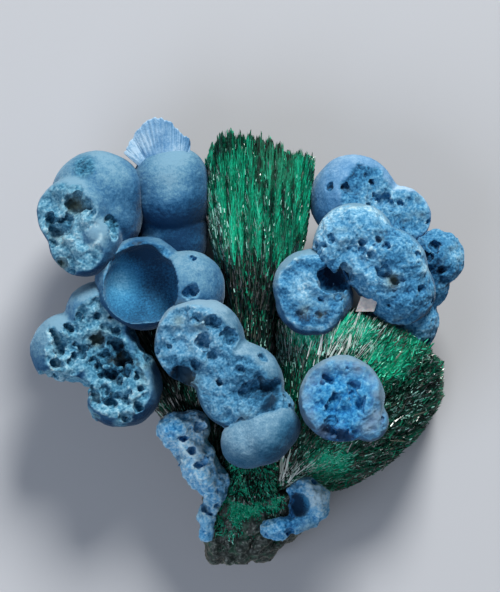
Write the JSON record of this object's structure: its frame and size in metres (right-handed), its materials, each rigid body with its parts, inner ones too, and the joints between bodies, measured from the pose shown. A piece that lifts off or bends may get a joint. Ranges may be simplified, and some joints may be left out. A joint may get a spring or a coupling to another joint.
{
  "type": "shattuckite on malachite mineral specimen",
  "caption": "Cabinet mineral specimen: blue shattuckite balls, some broken open and pitted, grown on green fans of malachite needles, lying on its back.",
  "frame": {"origin": "middle of the specimen's outline, on the surface it lies on", "axes": "+Z out of the show side, which faces up; +Y from the malachite foot to the top of the tall fan; +X to the right of someone who looks at the show side with the foot nearest"},
  "size_m": [0.0436, 0.0455, 0.0183],
  "materials": {
    "shattuckite": "velvety skin, porous where broken",
    "malachite": "glossy needles",
    "calcite": "translucent cleavage faces"
  },
  "bodies": {
    "root": {"shattuckite_left_cluster": "shattuckite", "shattuckite_right_cluster": "shattuckite", "shattuckite_round_ball": "shattuckite", "shattuckite_lower_crust": "shattuckite", "shattuckite_broken_shell": "shattuckite", "pale_crystal": "calcite", "malachite_tall_spray": "malachite", "malachite_side_spray": "malachite", "malachite_left_spray": "malachite", "malachite_foot": "malachite"}
  },
  "joints": []
}
